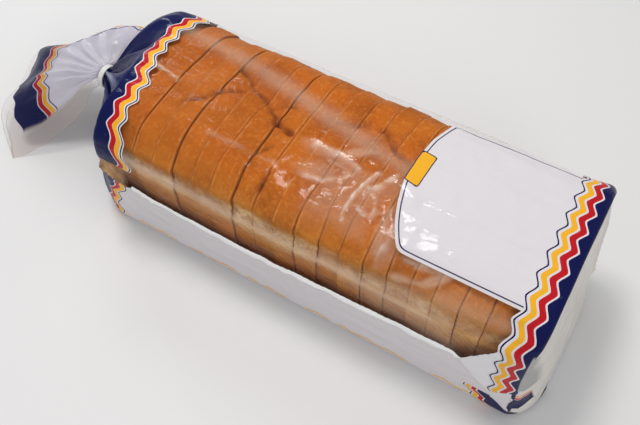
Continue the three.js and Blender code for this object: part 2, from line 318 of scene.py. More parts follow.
class Nodes:
    """Short names for the nodes a material is built from."""

    def __init__(self, name):
        self.material = bpy.data.materials.new(name)
        self.material.use_nodes = True
        self.tree = self.material.node_tree
        self.tree.nodes.clear()
        self.out = self.tree.nodes.new("ShaderNodeOutputMaterial")

    def put(self, socket, value):
        if isinstance(value, bpy.types.NodeSocket):
            self.tree.links.new(value, socket)
        else:
            socket.default_value = value

    def make(self, kind, **inputs):
        """A node with these inputs; _ in a name stands for a space."""
        node = self.tree.nodes.new("ShaderNode" + kind)
        for key, value in inputs.items():
            self.put(node.inputs[key.replace("_", " ")], value)
        return node

    def math(self, operation, a, b=0.0, c=0.0, clamp=False):
        node = self.make("Math")
        node.operation = operation
        node.use_clamp = clamp
        for socket, value in zip(node.inputs, (a, b, c)):
            self.put(socket, value)
        return node.outputs[0]

    def times(self, a, b, clamp=False):
        return self.math("MULTIPLY", a, b, clamp=clamp)

    def add(self, a, b, clamp=False):
        return self.math("ADD", a, b, clamp=clamp)

    def minus(self, a, b):
        return self.math("SUBTRACT", a, b)

    def most(self, a, b):
        return self.math("MAXIMUM", a, b)

    def away(self, value, centre):
        """How far a value is from a centre."""
        return self.math("ABSOLUTE", self.minus(value, centre))

    def field(self, name):
        node = self.make("Attribute")
        node.attribute_name = name
        return node.outputs["Fac"]

    def place(self):
        return self.make("TexCoord").outputs["Object"]

    def join(self, x, y):
        return self.make("CombineXYZ", X=x, Y=y).outputs[0]

    def noise(self, vector, scale, detail=3.0, rough=0.55, distort=0.0):
        sizes = {"Scale": scale, "Detail": detail, "Roughness": rough, "Distortion": distort}
        return self.make("TexNoise", Vector=vector, **sizes).outputs["Fac"]

    def cells(self, vector, scale):
        return self.make("TexVoronoi", Vector=vector, Scale=scale).outputs["Distance"]

    def range(self, value, a, b, low=0.0, high=1.0, soft=True):
        ends = {"From_Min": a, "From_Max": b, "To_Min": low, "To_Max": high}
        node = self.make("MapRange", Value=value, **ends)
        node.interpolation_type = "SMOOTHSTEP" if soft else "LINEAR"
        return node.outputs["Result"]

    def line(self, value, a, b, low=0.0, high=1.0):
        """A range with a straight slope."""
        return self.range(value, a, b, low, high, soft=False)

    def blend(self, share, a, b, mode="MIX"):
        node = self.make("Mix", Factor=share)
        node.data_type = "RGBA"
        node.blend_type = mode
        self.put(node.inputs[6], a)
        self.put(node.inputs[7], b)
        return node.outputs[2]

    def paint(self, base, *coats):
        """Coats of (share, colour) over a base, one after another."""
        for share, colour in coats:
            base = self.blend(share, base, srgb(*colour))
        return base

    def ramp(self, value, stops, hard=False):
        node = self.make("ValToRGB", Fac=value)
        node.color_ramp.interpolation = "CONSTANT" if hard else "LINEAR"
        elements = node.color_ramp.elements
        elements[0].position, elements[0].color = stops[0]
        elements[1].position, elements[1].color = stops[1]
        for position, colour in stops[2:]:
            elements.new(position).color = colour
        return node.outputs["Color"]

    def bump(self, height, distance, strength):
        return self.make("Bump", Strength=strength, Distance=distance, Height=height).outputs[0]

    def principled(self, **inputs):
        return self.make("BsdfPrincipled", **inputs).outputs[0]

    def mix_shader(self, share, a, b):
        node = self.make("MixShader", Fac=share)
        self.put(node.inputs[1], a)
        self.put(node.inputs[2], b)
        return node.outputs[0]

    def finish(self, shader):
        self.tree.links.new(shader, self.out.inputs["Surface"])
        return self.material


# ---- bread ----

# Dents and cracks across the crown: path in (u, t), depth, half width, painted shade in the dent
DENTS = [
    (
        [(54, 156), (61, 153), (67, 147), (76, 145), (83, 139), (89, 136), (92, 131), (101, 129)],
        3.2,
        1.7,
        1.1,
    ),
    ([(64, 152), (84, 142)], 3.0, 8.0, 0.2),
    ([(83, 140), (88, 146), (95, 147)], 1.6, 1.1, 0.8),
    ([(38, 120), (46, 125), (52, 134), (57, 138), (66, 145)], 2.0, 1.2, 1.1),
    ([(144, 156), (151, 152), (156, 146), (164, 144), (171, 139)], 2.6, 1.5, 0.75),
    ([(104, 88), (105, 101)], 2.0, 1.4, 0.9),
    ([(92, 108), (97, 116)], 1.2, 1.2, 0.8),
    ([(120, 148), (131, 152), (136, 160)], 1.2, 1.2, 0.6),
]
# Heights up the side, as t: the crust's lip, the torn shred under it, and its middle
CROWN_LOW = 75.0
SHRED_LOW = 65.0
SHRED_MIDDLE = 70.0

slice_rng = np.random.RandomState(31)
SLICE_RISE = slice_rng.uniform(-0.9, 0.7, len(SLICE_NAMES))
# Four slices stand clearly above or below their neighbours.
SLICE_RISE[[1, 2, 5, 8]] = 0.9, -1.0, 1.2, -1.1
SLICE_TILT = slice_rng.uniform(-2.2, 0.6, len(SLICE_NAMES))
SLICE_TONE = slice_rng.uniform(-1, 1, len(SLICE_NAMES))
SLICE_SHADE = slice_rng.uniform(0, 1, (len(SLICE_NAMES), 2)) ** 1.5


def dent_depth(u, t):
    depth = np.zeros(np.shape(u))
    dark = np.zeros(np.shape(u))
    for path, deep, half, shade in DENTS:
        wobble = 0.9 * noise(u / 5, t / 5, 3)
        share = np.exp(-((path_distance(u, t, path) + wobble) / half) ** 2)
        depth = np.maximum(depth, deep * share)
        # dark is painted shade in each dent's hollow
        dark = np.maximum(dark, shade * share * (0.75 + 0.5 * noise(u / 4, t / 4, 7)))
    return depth, dark


def crust_offset(u, t):
    """How far the crust stands out from the plain tin section, in mm."""
    depth, _ = dent_depth(u, t)
    far = T_FAR - t
    side = np.minimum(t, far)
    lip = 1.0 * bump(side, CROWN_LOW + 4 + 1.5 * noise(u / 11, side / 30, 1), 3.2)
    shred = -1.1 * smooth(SHRED_LOW - 3, SHRED_LOW + 1, side) * (1 - smooth(72, 77, side))
    rough = 0.8 * noise(u / 2.3, t / 1.6, 2) * bump(side, SHRED_MIDDLE, 4.5)
    rolling = 0.9 * noise(u / 34, t / 30, 4) + 0.4 * noise(u / 12, t / 12, 5)
    pimple = 0.12 * noise(u / 2.6, t / 2.6, 6)
    return lip + shred + rough + rolling * smooth(60, 90, side) + pimple - depth


def cut_wave(cut, t):
    """How far a cut between two slices wanders along the loaf."""
    inner = 0.0 if cut in (0, len(SLICE_NAMES)) else 1.0
    return inner * (0.9 * noise(t / 40, cut * 1.7, 1) + 0.35 * noise(t / 11, cut * 2.3, 2))


def slice_stations(length, is_first, is_last):
    """Rings of one slice as (x, inset, scale): cut face, softened edge, crust and back."""
    crust = [(0.0, 0.28), (0.2, 0.08), (0.7, 0.0)]
    crust += [(x, 0.0) for x in np.linspace(EDGE_WIDTH, length - EDGE_WIDTH, 6)]
    crust += [(length - x, inset) for x, inset in crust[2::-1]]
    heel = [
        (length / 2 * (1 - math.cos(a)), HEEL_ROUND * (1 - math.sin(a)) ** 1.3)
        for a in np.linspace(0, math.pi / 2, 8)
    ]
    if is_first:
        crust = heel + [s for s in crust if s[0] > length * 0.55]
    if is_last:
        crust = [s for s in crust if s[0] < length * 0.45]
        crust += [(length - x, inset) for x, inset in heel[::-1]]
    scales = list(np.linspace(*FACE_SCALES))
    stations = [(*crust[0], scale) for scale in scales]
    stations += [(x, inset, 1.0) for x, inset in crust]
    return stations + [(*crust[-1], scale) for scale in scales[::-1]]


def slice_grid(index):
    """Rings and fields of one slice."""
    start = index * PITCH + CUT_GAP / 2
    length = PITCH - CUT_GAP
    tone = np.random.RandomState(100 + index)
    shift_y = 0.8 * math.sin(index * 1.9) + tone.uniform(-0.25, 0.25)
    lean = 0.004 * math.sin(index * 2.7 + 0.5)
    centre = BREAD_HEIGHT / 2
    normal = outward(bread_ring)
    top = smooth(60, 100, np.minimum(bread_t, T_FAR - bread_t))
    rows, fields = [], []
    for x, inset, scale in slice_stations(length, index == 0, index == len(SLICE_NAMES) - 1):
        u = np.full(len(bread_ring), start + x)
        share = x / length
        shingle = SLICE_TILT[index] * (share - 0.5)
        out = crust_offset(u, bread_t) + (SLICE_RISE[index] + shingle) * top - inset
        ring = bread_ring + normal * out[:, None]
        y = ring[:, 0] * scale
        z = centre + (ring[:, 1] - centre) * scale
        inward = 0.0 if scale == 1 else math.copysign(1.0, length / 2 - x)
        crumb = inward * CRUMB_DEPTH * (1 + noise(y / 2.2, z / 2.2, index)) / 2
        y = y + shift_y - lean * (z - centre)
        z = z + BREAD_LIFT + lean * y
        wave = cut_wave(index, bread_t) * (1 - share) + cut_wave(index + 1, bread_t) * share
        rows.append(np.stack([u + crumb + wave * scale, y, np.maximum(z, 0.7)], 1))
        # shade is painted shade near the slice's cut faces
        first_side, last_side = SLICE_SHADE[index]
        shade = first_side * math.exp(-x / EDGE_WIDTH)
        shade += last_side * math.exp(-(length - x) / EDGE_WIDTH)
        shade = shade * (0.6 + 0.6 * noise(bread_t / 14, index * 3.1, 3))
        fields.append(
            {
                "u": u,
                "t": bread_t,
                "dark": dent_depth(u, bread_t)[1],
                "rim": np.full(len(u), scale),
                "edge": np.full(len(u), min(x, length - x)),
                "shade": shade,
                "tone": np.full(len(u), SLICE_TONE[index]),
            }
        )
    return np.array(rows), {key: np.array([f[key] for f in fields]) for key in fields[0]}


# Crust colours by height, from the foot of the side (0) to the crown (1)
CRUST_LOW, CRUST_HIGH = 30, 150
CRUST_STOPS = [
    (0.0, srgb(198, 134, 54)), (0.11, srgb(188, 116, 36)), (0.2, srgb(196, 126, 42)),
    (0.285, srgb(230, 184, 120)), (0.31, srgb(248, 222, 184)), (0.35, srgb(242, 206, 150)),
    (0.385, srgb(206, 138, 52)), (0.43, srgb(196, 114, 38)), (0.56, srgb(198, 102, 18)),
    (1.0, srgb(192, 96, 16)),
]


def baked_tones(n, u, t, side, place, mottle):
    """Crust colour by height, with mottling, grain, specks and the torn shred."""
    wander = n.math("MULTIPLY_ADD", n.noise(n.join(u, t), 0.16, 2), 6.0, n.minus(side, 3.0))
    grain = n.noise(n.join(n.times(u, 0.9), t), 0.8, 3, 0.7)
    torn = n.range(n.away(side, SHRED_MIDDLE), 8, 3, 0, 0.5)
    return n.paint(
        n.ramp(n.line(wander, CRUST_LOW, CRUST_HIGH), CRUST_STOPS),
        (n.range(mottle, 0.4, 0.68, 0, 0.5), (140, 62, 14)),
        (n.range(n.noise(place, 22, 2), 0.4, 0.7, 0, 0.4), (212, 122, 30)),
        (n.range(n.noise(place, 420, 3, 0.7), 0.45, 0.7, 0, 0.38), (224, 142, 58)),
        (n.range(grain, 0.5, 0.72, 0, 0.5), (150, 70, 20)),
        (n.range(n.cells(place, 260), 0.13, 0.07, 0, 0.5), (236, 176, 104)),
        (n.times(n.range(u, 150, 262, 0, 0.4), n.range(side, 95, 70)), (214, 172, 120)),
        (n.times(n.range(n.noise(place, 140, 4, 0.7), 0.45, 0.62), torn), (176, 112, 58)),
    )


def cut_tones(n, crust, t, place):
    """What sets the slices apart: their own tone, a pale line by each cut that is partly paler
    crust and partly painted highlight, painted shade in and beside each cut, and painted shade in
    the dents.
    """
    edge = n.field("edge")
    broken = n.range(n.noise(place, 230, 2), 0.35, 0.65)
    uneven = n.noise(n.join(n.field("tone"), n.times(t, 0.06)), 1.0, 3)
    uneven = n.range(uneven, 0.35, 0.65, 0.25, 1.0)
    return n.paint(
        crust,
        (n.range(n.field("tone"), -1, 1, 0.0, 0.22), (150, 78, 30)),
        # Pale line by each cut: partly paler crust, partly a painted highlight on the cut's edge
        (n.times(n.range(n.away(edge, 1.1), 0.7, 0.1, 0, 0.4), broken), (222, 160, 92)),
        # Painted shade in the gap of each cut
        (n.times(n.range(edge, 0.6, 0.1, 0, 0.4), uneven), (112, 54, 20)),
        # Painted shade beside the cuts
        (n.times(n.field("shade"), 0.62, clamp=True), (146, 72, 24)),
        # Painted shade in the dents and cracks
        (n.times(n.field("dark"), 0.9), (116, 52, 20)),
    )


def tin_ribs(n, flat):
    """Wavy marks that the tin leaves on the low side."""
    ribs = n.make("TexWave", Vector=flat, Scale=0.12, Distortion=7.0, Detail=2.0)
    ribs.bands_direction = "DIAGONAL"
    return ribs.outputs["Fac"]


def crumb_tones(n, place, holes):
    crumb = n.blend(holes, srgb(214, 190, 146), srgb(240, 224, 190))
    patchy = n.range(n.noise(place, 90, 4), 0.4, 0.7, 0, 0.4)
    return n.blend(patchy, crumb, srgb(228, 206, 166))


def bread_material():
    n = Nodes("baked_bread")
    u, t, place = n.field("u"), n.field("t"), n.place()
    side = n.math("MINIMUM", t, n.minus(T_FAR, t))
    mottle = n.noise(place, 55, 4, 0.6)
    crust = cut_tones(n, baked_tones(n, u, t, side, place, mottle), t, place)
    low_side = n.range(side, 66, 58)
    ribs = tin_ribs(n, n.join(u, t))
    crust = n.paint(crust, (n.times(low_side, n.range(ribs, 0.4, 1, 0, 0.25)), (110, 62, 28)))
    holes = n.range(n.cells(place, 520), 0.1, 0.45)
    crumb = crumb_tones(n, place, holes)
    skin_edge = n.range(n.field("rim"), 0.93, 0.985)
    face = n.range(n.field("rim"), 1.0, 0.995)
    colour = n.blend(face, crust, n.blend(skin_edge, crumb, srgb(176, 104, 46)))
    relief = n.add(n.noise(place, 160, 3), n.times(holes, face))
    relief = n.add(n.times(n.noise(place, 600, 4, 0.7), 0.5), relief)
    shred = n.range(n.away(side, SHRED_MIDDLE), 7, 3)
    shred = n.times(n.noise(place, 330, 4, 0.75), shred)
    relief = n.add(relief, n.times(shred, 2.0))
    relief = n.add(relief, n.times(n.times(low_side, ribs), 0.5))
    shader = n.principled(
        Base_Color=colour,
        Roughness=n.range(mottle, 0.3, 0.8, 0.5, 0.72),
        Specular_IOR_Level=0.08,
        Normal=n.bump(relief, 0.0006, 0.8),
    )
    return n.finish(shader)


bread = bread_material()
for index, name in enumerate(SLICE_NAMES):
    grid, fields = slice_grid(index)
    middle = [grid[row].mean(0) for row in (0, -1)]
    made = skin("bread_" + name, grid, fields, bread, middle[0], middle[1])
    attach(made, "root")
    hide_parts(name)


# ---- film bag ----

# Middle of the red zigzag on the film, as (t, u)
LEFT_STRIPE = [
    (-60, -8), (0, -8), (15, -6), (28, 0), (39, 7.5), (44, 13), (62, 17), (71, 16), (78, 13),
    (86, 10.5), (96, 9), (105, 8.5), (120, 7), (127, 3), (140, 0), (150, -1), (164, -1), (180, 3),
    (215, 0), (300, -4),
]
RIGHT_STRIPE = [(-60, 258), (20, 258), (45, 256), (80, 256), (150, 256), (186, 256), (300, 257)]
# Welded seam at the top of the near white band, as (u, t)
SEAM = [
    (-60, 57), (-4, 54), (12, 47), (38, 41), (121, 40), (140, 42), (171, 43), (226, 45), (262, 46)
]

# Creases in the film: path in (u, t), height, half width
CREASES = [
    ([(-4, 54), (12, 47), (38, 41), (121, 40), (140, 42), (171, 43), (228, 45)], 3.2, 1.8),
    ([(18, 71), (70, 70), (130, 68), (212, 66)], 1.3, 1.5),
    ([(11, 150), (70, 146), (131, 136), (171, 128)], 0.8, 2.2),
    ([(11, 133), (28, 129), (12, 120)], 1.0, 1.2),
    ([(1, 130), (22, 129)], 0.8, 0.9),
    ([(64, 107), (106, 107)], 0.7, 1.0),
    ([(114, 131), (148, 129)], 0.9, 1.3),
    ([(126, 107), (138, 112), (145, 117), (132, 120)], 1.2, 1.5),
    ([(157, 128), (154, 118), (151, 108), (153, 94)], 1.4, 1.3),
    ([(160, 106), (168, 98), (177, 87)], 1.3, 1.2),
    ([(142, 96), (156, 104), (170, 122)], 1.0, 1.6),
    ([(156, 116), (162, 112), (165, 102)], 1.0, 1.2),
    ([(211, 79), (228, 84), (247, 88)], 1.0, 1.2),
    ([(186, 92), (212, 90)], 0.8, 1.0),
    ([(20, 180), (90, 178), (180, 176)], 0.9, 2.0),
    ([(228, 43), (249, 74)], 1.2, 0.9),
    ([(-2, 158), (24, 160), (40, 150)], 0.8, 1.4),
    ([(176, 60), (206, 54), (226, 45)], 0.8, 1.4),
    ([(30, 52), (90, 56), (140, 50)], 0.5, 1.3),
]

# Milky streaks on the film, mostly painted reflection where crumpled film catches the light and
# partly haze where it doubles up: path, half width, strength
STREAKS = [
    ([(8, 166), (60, 160), (131, 143), (171, 135)], 5.5, 0.24),
    ([(8, 168), (40, 164)], 7.0, 0.12),
    ([(18, 71), (90, 69), (211, 67)], 3.2, 0.42),
    ([(140, 98), (156, 106), (170, 124)], 10.0, 0.14),
    ([(212, 80), (246, 84)], 4.0, 0.18),
    ([(170, 60), (216, 58)], 6.0, 0.12),
    ([(40, 190), (200, 190)], 7.0, 0.16),
    ([(64, 107), (106, 107)], 1.0, 0.16),
    ([(9, 133), (28, 129)], 0.9, 0.55),
    ([(28, 129), (12, 120)], 0.8, 0.32),
    ([(138, 130), (146, 137), (153, 138)], 2.4, 0.32),
    ([(172, 110), (175, 88)], 3.6, 0.3),
    ([(188, 80), (202, 83), (212, 92)], 1.8, 0.35),
    ([(196, 90), (212, 94), (226, 93)], 1.2, 0.3),
]
# Painted glints on the crumples beside the label: path, width right of it, width left
# of it, strength
GLINTS = [
    ([(146, 125), (138, 128), (129, 129), (119, 129)], 0.8, 5.0, 0.5),
    ([(124, 107), (134, 108), (139, 112), (145, 117)], 1.0, 4.5, 0.42),
    ([(131, 121), (140, 120), (145, 117)], 0.8, 2.5, 0.4),
    ([(156, 126), (154, 119), (151, 110), (151, 99), (153, 94)], 0.9, 1.8, 0.62),
    ([(163, 127), (160, 121), (157, 116)], 0.8, 5.5, 0.5),
    ([(156, 116), (162, 112), (165, 106), (165, 101)], 0.9, 1.6, 0.5),
    ([(157, 103), (162, 101)], 1.0, 2.4, 0.5),
    ([(165, 104), (172, 109)], 0.8, 2.4, 0.25),
    ([(176, 107), (177, 95), (176, 87)], 0.9, 6.0, 0.42),
    ([(190, 90), (199, 91)], 1.0, 2.2, 0.5),
]
# Milky patches, partly haze and partly painted reflection: outline, strength
PATCHES = [
    ([(172, 50), (228, 46), (222, 70), (204, 80), (176, 76)], 0.17),
    ([(130, 92), (168, 88), (164, 120), (140, 128)], 0.16),
    ([(116, 112), (137, 104), (151, 112), (128, 121)], 0.2),
    ([(206, 80), (247, 82), (247, 88), (216, 90)], 0.12),
]
# Outlines of the printed label, its tab and the folded flap
LABEL = [
    (280, 92.5), (280, 180), (176, 180), (170, 161), (168, 142), (168, 133), (171, 119), (176, 105),
    (184, 92.5),
]
TAB = [(169.5, 130), (177, 128.5), (177.5, 150), (169.5, 151.5)]
FLAP = [(228, 42), (262, 1), (262, 60), (250, 76)]

# The flap's fold line runs down from here, and this far along and down
FOLD_U, FOLD_T = 228, 42
FOLD_RUN, FOLD_DROP, FOLD_LENGTH = 34, 41, 53.3


def past_fold(u, t):
    """FOLD_LENGTH times the distance past the flap's fold line."""
    return (t - FOLD_T) * FOLD_RUN + (u - FOLD_U) * FOLD_DROP


def film_offset(u, t):
    """How far the film stands out from its plain section: creases, slack and crumple."""
    out = np.zeros(np.shape(u))
    wobble = 0.8 * noise(u / 7, t / 7, 2)
    for path, high, half in CREASES:
        away = path_distance(u, t, path) + wobble * 0.6
        out = np.maximum(out, high * np.exp(-np.abs(away) / half))
    long_folds = 0.35 * noise(u / 45, t / 7, 1) + 0.22 * noise(u / 26, t / 4, 5)
    crumple = np.abs(noise(u / 11 + t / 23, t / 11, 3))
    crumple = crumple + 0.5 * np.abs(noise(u / 5, t / 6 - u / 14, 4))
    flap = smooth(-0.7, 0.7, past_fold(u, t) / FOLD_LENGTH) * smooth(226, 230, u)
    flap = flap * (1 - smooth(70, 78, t)) * smooth(0, 4, t)
    out = out + 1.6 * flap * (1 - smooth(262, 266, u))
    label_crumple = bump(u, 152, 26) * bump(t, 108, 24)
    side = np.minimum(t, T_FAR - t)
    slack = -0.5 * bump(side, 58, 9) - 0.4 * bump(side, 84, 7)
    return out + long_folds + slack + (0.3 + 2.0 * label_crumple) * (0.45 - crumple)


# Round the bag: each point's turn from under the middle, its share of the way round,
# and how far it is to the far side and to the top of the neck
bag_normal = outward(bag_ring)
BAG_POINTS = len(bag_ring)
turn = 2 * np.pi * np.arange(BAG_POINTS) / (BAG_POINTS - 1)
around = turn / (2 * np.pi)
across, upper = np.sin(turn), -np.cos(turn)
phase = noise(around * 9, 0.5, 6) * 2.2
pleats = np.sin(turn * 23 + phase * 3)


def neck_ring(x, centre, radius):
    """A round ring of the film about a centre."""
    return np.stack(
        [np.full(BAG_POINTS, x), centre.y + radius * across, centre.z + radius * upper], 1
    )


def end_x(y, z):
    """Place of the closed end: it leans, and its low corners are rounded."""
    lean = (END_FOOT_X - END_TOP_X) * (z / BAG_HEIGHT)
    corner = END_CORNER_ROUND * (1 - z / BAG_HEIGHT) * (np.abs(y) / BAG_BASE_HALF) ** 5
    return END_FOOT_X - lean - corner


end_edge = end_x(bag_ring[:, 0], bag_ring[:, 1]) - END_EDGE_ROUND


def shrunk(scale):
    """The bag's section, shrunk about its centre."""
    centre = BAG_HEIGHT / 2
    return bag_ring[:, 0] * scale, centre + (bag_ring[:, 1] - centre) * scale


def end_rings():
    """The closed end: a leaning face with shallow folds, then its rounded edge."""
    rows, us = [], []
    size = np.hypot(bag_ring[:, 0], bag_ring[:, 1] - BAG_HEIGHT / 2)
    for scale in np.linspace(0.04, 0.94, END_FACE_RINGS):
        y, z = shrunk(scale)
        fold = np.zeros(BAG_POINTS)
        for side in (-1, 1):
            path = [(side * 53, 74), (side * 28, 46), (side * 50, 4)]
            fold = np.maximum(fold, np.exp(-np.abs(path_distance(y, z, path)) / 1.3))
        dimple = 1.5 * fold + 0.8 * noise(y / 26, z / 22, 2) + 0.35 * noise(y / 9, z / 9, 3)
        x = end_x(y, z) + dimple * (1 - scale**6) - END_FACE_INSET
        rows.append(np.stack([x, y, z], 1))
        us.append(end_edge + END_EDGE_WAY + size * (1 - scale))
    for a in np.linspace(0, math.pi / 2, END_EDGE_RINGS + 1)[1:]:
        y, z = shrunk(0.95 + 0.05 * math.sin(a))
        x = end_x(bag_ring[:, 0], z) - END_EDGE_ROUND * (1 - math.cos(a))
        rows.append(np.stack([x, y, z], 1))
        us.append(end_edge + END_EDGE_WAY * (1 - a / (math.pi / 2)))
    return rows, us


def body_ring(u, share):
    """One ring of the body, with this share of its creases."""
    out = film_offset(u, bag_t) * share
    out = out * smooth(0, 9, np.minimum(bag_t, T_FAR - bag_t))
    y = bag_ring[:, 0] + bag_normal[:, 0] * out
    z = bag_ring[:, 1] + bag_normal[:, 1] * out
    return np.stack([u, y, np.maximum(z, 0.1)], 1)


def body_rings():
    """The body: from the leaning end to square rings, then back to the loaf's start."""
    stations = [
        (end_edge * (1 - share) + END_BODY_X * share, share)
        for share in np.linspace(0, 1, END_BLEND_RINGS + 1)[1:]
    ]
    for x in np.linspace(END_BODY_X, 0, BODY_RINGS + 1)[1:]:
        stations.append((np.full(BAG_POINTS, x), 1.0))
    return [body_ring(u, share) for u, share in stations], [u for u, _ in stations]


def shoulder_rings():
    """The gathered shoulder down to the neck, and the painted highlights along its folds."""
    rows, fold_highlight = [], []
    far, height = bag_ring[:, 0], bag_ring[:, 1] / BAG_HEIGHT
    fullness = FULLNESS_FOOT + (FULLNESS_TOP - FULLNESS_FOOT) * height
    fullness = fullness + 1.8 * smooth(15, 50, far) * smooth(0.3, 0.75, height)
    fullness = fullness - 0.7 * smooth(15, 50, -far) * smooth(0.15, 0.5, height)
    _, neck_y, neck_z = neck_ring(NECK.x, NECK, NECK_RADIUS).T
    gather = np.abs(np.arcsin(np.sin(turn * 5.5 + phase)) * 2 / np.pi) - 0.75
    waves = 8.0 * gather * (0.6 + 0.4 * np.sin(turn * 2 + 1)) + 0.6 * pleats
    for along in np.linspace(0, 1, SHOULDER_RINGS + 1)[1:]:
        closed = along**fullness
        y = bag_ring[:, 0] * (1 - closed) + neck_y * closed
        z = bag_ring[:, 1] * (1 - closed) + neck_z * closed
        lift = smooth(0.05, 0.5, along) * (1 - smooth(0.75, 1.0, along) * 0.75)
        body_creases = film_offset(np.full(BAG_POINTS, -along * 10), bag_t)
        out = body_creases * (1 - smooth(0, 0.4, along)) + lift * waves
        out = out + 0.9 * pleats * smooth(0.5, 0.9, along) * (1 - 0.5 * along)
        pale = np.zeros(BAG_POINTS)
        for at, deep in SHOULDER_FOLDS:
            fan = (np.mod(around - at + 0.5, 1) - 0.5) * 2 * np.pi
            ridge = deep * np.exp(-np.abs(fan) / SHOULDER_FOLD_WIDTH)
            out = out + ridge * smooth(0.0, 0.3, along) * (1 - smooth(0.8, 1, along))
            # Painted highlight along the fold's crest
            line = deep / 6 * np.exp(-((fan / 0.028) ** 2))
            pale = np.maximum(pale, line * smooth(-0.1, 0.25, along))
        fold_highlight.append(pale * (0.6 + 0.5 * noise(turn * 4, along * 6, 5)))
        x = NECK.x * along - 1.0 * lift * np.sin(turn * 5 + phase)
        y = y + bag_normal[:, 0] * out
        z = np.maximum(z + bag_normal[:, 1] * out, 0.25)
        rows.append(np.stack([x, y, z], 1))
    return rows, fold_highlight


def neck_rings():
    """The short pleated neck inside the tie."""
    rows = []
    for share in NECK_RINGS:
        radius = NECK_RADIUS * (1 - 0.12 * math.sin(math.pi * share)) * (1 + 0.09 * pleats)
        rows.append(neck_ring(NECK.x - NECK_LENGTH * share, NECK, radius))
    return rows


def tail_directions():
    """Place across the fan of TAIL_RAYS, and direction, of each point round the neck."""
    rays = np.array(TAIL_RAYS)
    rays = rays / np.linalg.norm(rays, axis=1, keepdims=True)
    last = len(rays) - 1
    spread = np.clip((across * (1.0 - 0.10 * upper * (across < 0)) + 1) / 2, 0, 1) * last
    ray = np.stack([np.interp(spread, range(len(rays)), rays[:, i]) for i in range(3)], 1)
    return spread, ray / np.linalg.norm(ray, axis=1, keepdims=True)


def tail_rings():
    """The fanned tail, the distance left to its mouth and the painted highlights on its pleats."""
    rows, mouth, fold_highlight = [], [], []
    spread, ray = tail_directions()
    curl = smooth(2.7, 4.4, spread)
    far = smooth(3.0, 6.0, spread)
    length = TAIL_LENGTH * (1 - 0.08 * curl) + 2.5 * noise(across * 3, upper, 5)
    length = length + 5.0 * np.clip(-upper, 0, 1)
    near_drop = (TAIL_HUMP + 9.0 - 5.0 * upper) * (1 - smooth(0, 2.2, spread))
    arch = TAIL_HUMP + 6.0 * far - near_drop
    rise = np.array(TAIL_UP) * (1 - far[:, None]) + np.array([0.15, 0.05, 0.98]) * far[:, None]
    tube = neck_ring(TAIL_ROOT.x, TAIL_ROOT, NECK_RADIUS)
    for along in np.linspace(TAIL_START, 1, TAIL_RINGS):
        past = np.maximum(along - TAIL_CURL, 0.0) * curl
        radius = length * (along - 0.8 * past)
        open_up = smooth(0.0, 0.35, along)
        depth = upper * (NECK_RADIUS * (1 - open_up) + TAIL_LAYER_GAP * open_up)
        fine = 0.9 * np.sin(across * 30 + phase * 2) * bump(along, 0.2, 0.28)
        wide = 2.6 * np.sin(across * 9.5 + 0.8 + 0.6 * upper) * smooth(0.1, 0.8, along)
        hump = arch * math.sin(math.pi * 0.86 * along)
        crumple = 1.1 * noise(across * 7, along * 7 + upper, 4) * along
        height = depth + fine + wide + hump + crumple
        point = np.array(TAIL_ROOT) + ray * radius[:, None] + rise * height[:, None]
        point[:, 2] -= 0.85 * length * past**2 / (past + 0.12)
        share = smooth(0.0, 0.3, along)
        point = (tube + ray * radius[:, None]) * (1 - share) + point * share
        point[:, 2] = np.maximum(point[:, 2], 0.3 + 0.5 * (upper + 1))
        rows.append(point)
        mouth.append(length * (1 - along) + 0.01)
        # Painted highlight along the tail's pleats
        pleat = np.exp(-((np.sin(across * 15 + phase) / 0.18) ** 2)) * bump(along, 0.3, 0.25)
        fold_highlight.append(0.35 * pleat * (0.5 + 0.5 * noise(across * 9, along * 5, 3)))
    return rows, mouth, fold_highlight


def film_rows():
    """Rings of the whole bag from the closed end to the tail's mouth and, at each point,
    u, the distance left to the mouth (-1 before the tail) and the painted fold highlights."""
    rows, us = end_rings()
    body, body_us = body_rings()
    shoulder, shoulder_fold_highlight = shoulder_rings()
    neck = neck_rings()
    tail, tail_mouth, tail_fold_highlight = tail_rings()
    rows, us = rows + body, us + body_us
    plain = np.zeros(BAG_POINTS)
    fold_highlight = [plain] * len(rows) + shoulder_fold_highlight + [plain] * len(neck) + tail_fold_highlight
    measured = len(rows)
    rows = rows + shoulder + neck
    mouth = [np.full(BAG_POINTS, -1.0)] * len(rows) + tail_mouth
    rows = rows + tail
    way = plain
    for row in range(measured, len(rows)):
        way = way + np.linalg.norm(rows[row] - rows[row - 1], axis=1)
        us.append(-way)
    return np.array(rows), np.array(us), np.array(mouth), np.array(fold_highlight)


INK_NAVY = srgb(11, 18, 74)
INK_RED = srgb(190, 24, 34)
INK_YELLOW = srgb(243, 178, 44)
INK_WHITE = srgb(222, 217, 219)
CLEAR = (0, 0, 0, 0)

# Hard bands of ink: where each starts, in mm across the zigzag, and its ink
BAND_REACH = 12
ZIGZAG_LENGTH = 12.5
LEFT_BANDS = [
    (-12, INK_NAVY), (-2.6, INK_WHITE), (-1.7, INK_RED), (1.6, INK_WHITE), (1.75, INK_YELLOW),
    (4.9, INK_WHITE), (5.8, INK_NAVY), (6.6, INK_WHITE), (7.5, CLEAR),
]
RIGHT_BANDS = [
    (-12, CLEAR), (-9.2, INK_WHITE), (-8.2, INK_NAVY), (-7.4, INK_WHITE), (-5.9, INK_YELLOW),
    (-2.8, INK_WHITE), (-1.6, INK_RED), (1.7, INK_WHITE), (2.7, INK_NAVY),
]
SLIP_BANDS = [
    (-12, CLEAR), (-5.0, INK_NAVY), (-4.4, INK_WHITE), (-3.4, INK_YELLOW), (-0.8, INK_WHITE),
    (-0.2, INK_RED), (2.4, INK_WHITE), (3.2, INK_NAVY),
]
